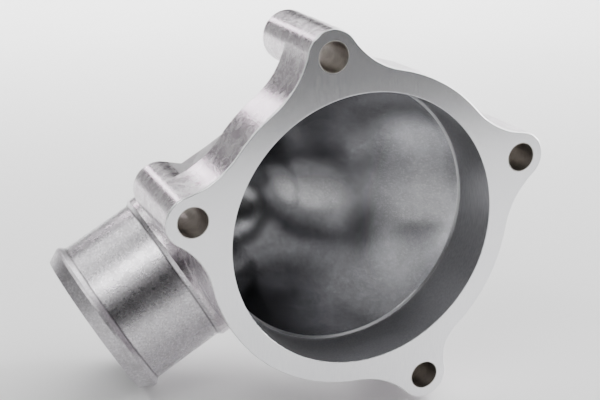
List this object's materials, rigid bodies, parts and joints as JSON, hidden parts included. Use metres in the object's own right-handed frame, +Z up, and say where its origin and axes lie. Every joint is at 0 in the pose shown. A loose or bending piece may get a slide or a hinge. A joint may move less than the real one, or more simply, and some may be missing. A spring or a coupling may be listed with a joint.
{
  "type": "thermostat housing",
  "caption": "Cast coolant outlet housing: a flat flange with offset bolt bosses round a large bore, and a leaning bowl that turns into a beaded hose neck.",
  "frame": {"origin": "centre of the main bore on the machined mating face", "axes": "-Y out of the mating face along the main bore, +Z up as pictured, +X to the right seen from the front of the face; the bowl and the hose neck lie behind the face on +Y"},
  "size_m": [0.1465, 0.0811, 0.1253],
  "materials": {
    "cast_aluminium": "as-cast, with a machined satin mating face"
  },
  "bodies": {
    "root": {"housing": "cast_aluminium"}
  },
  "joints": []
}
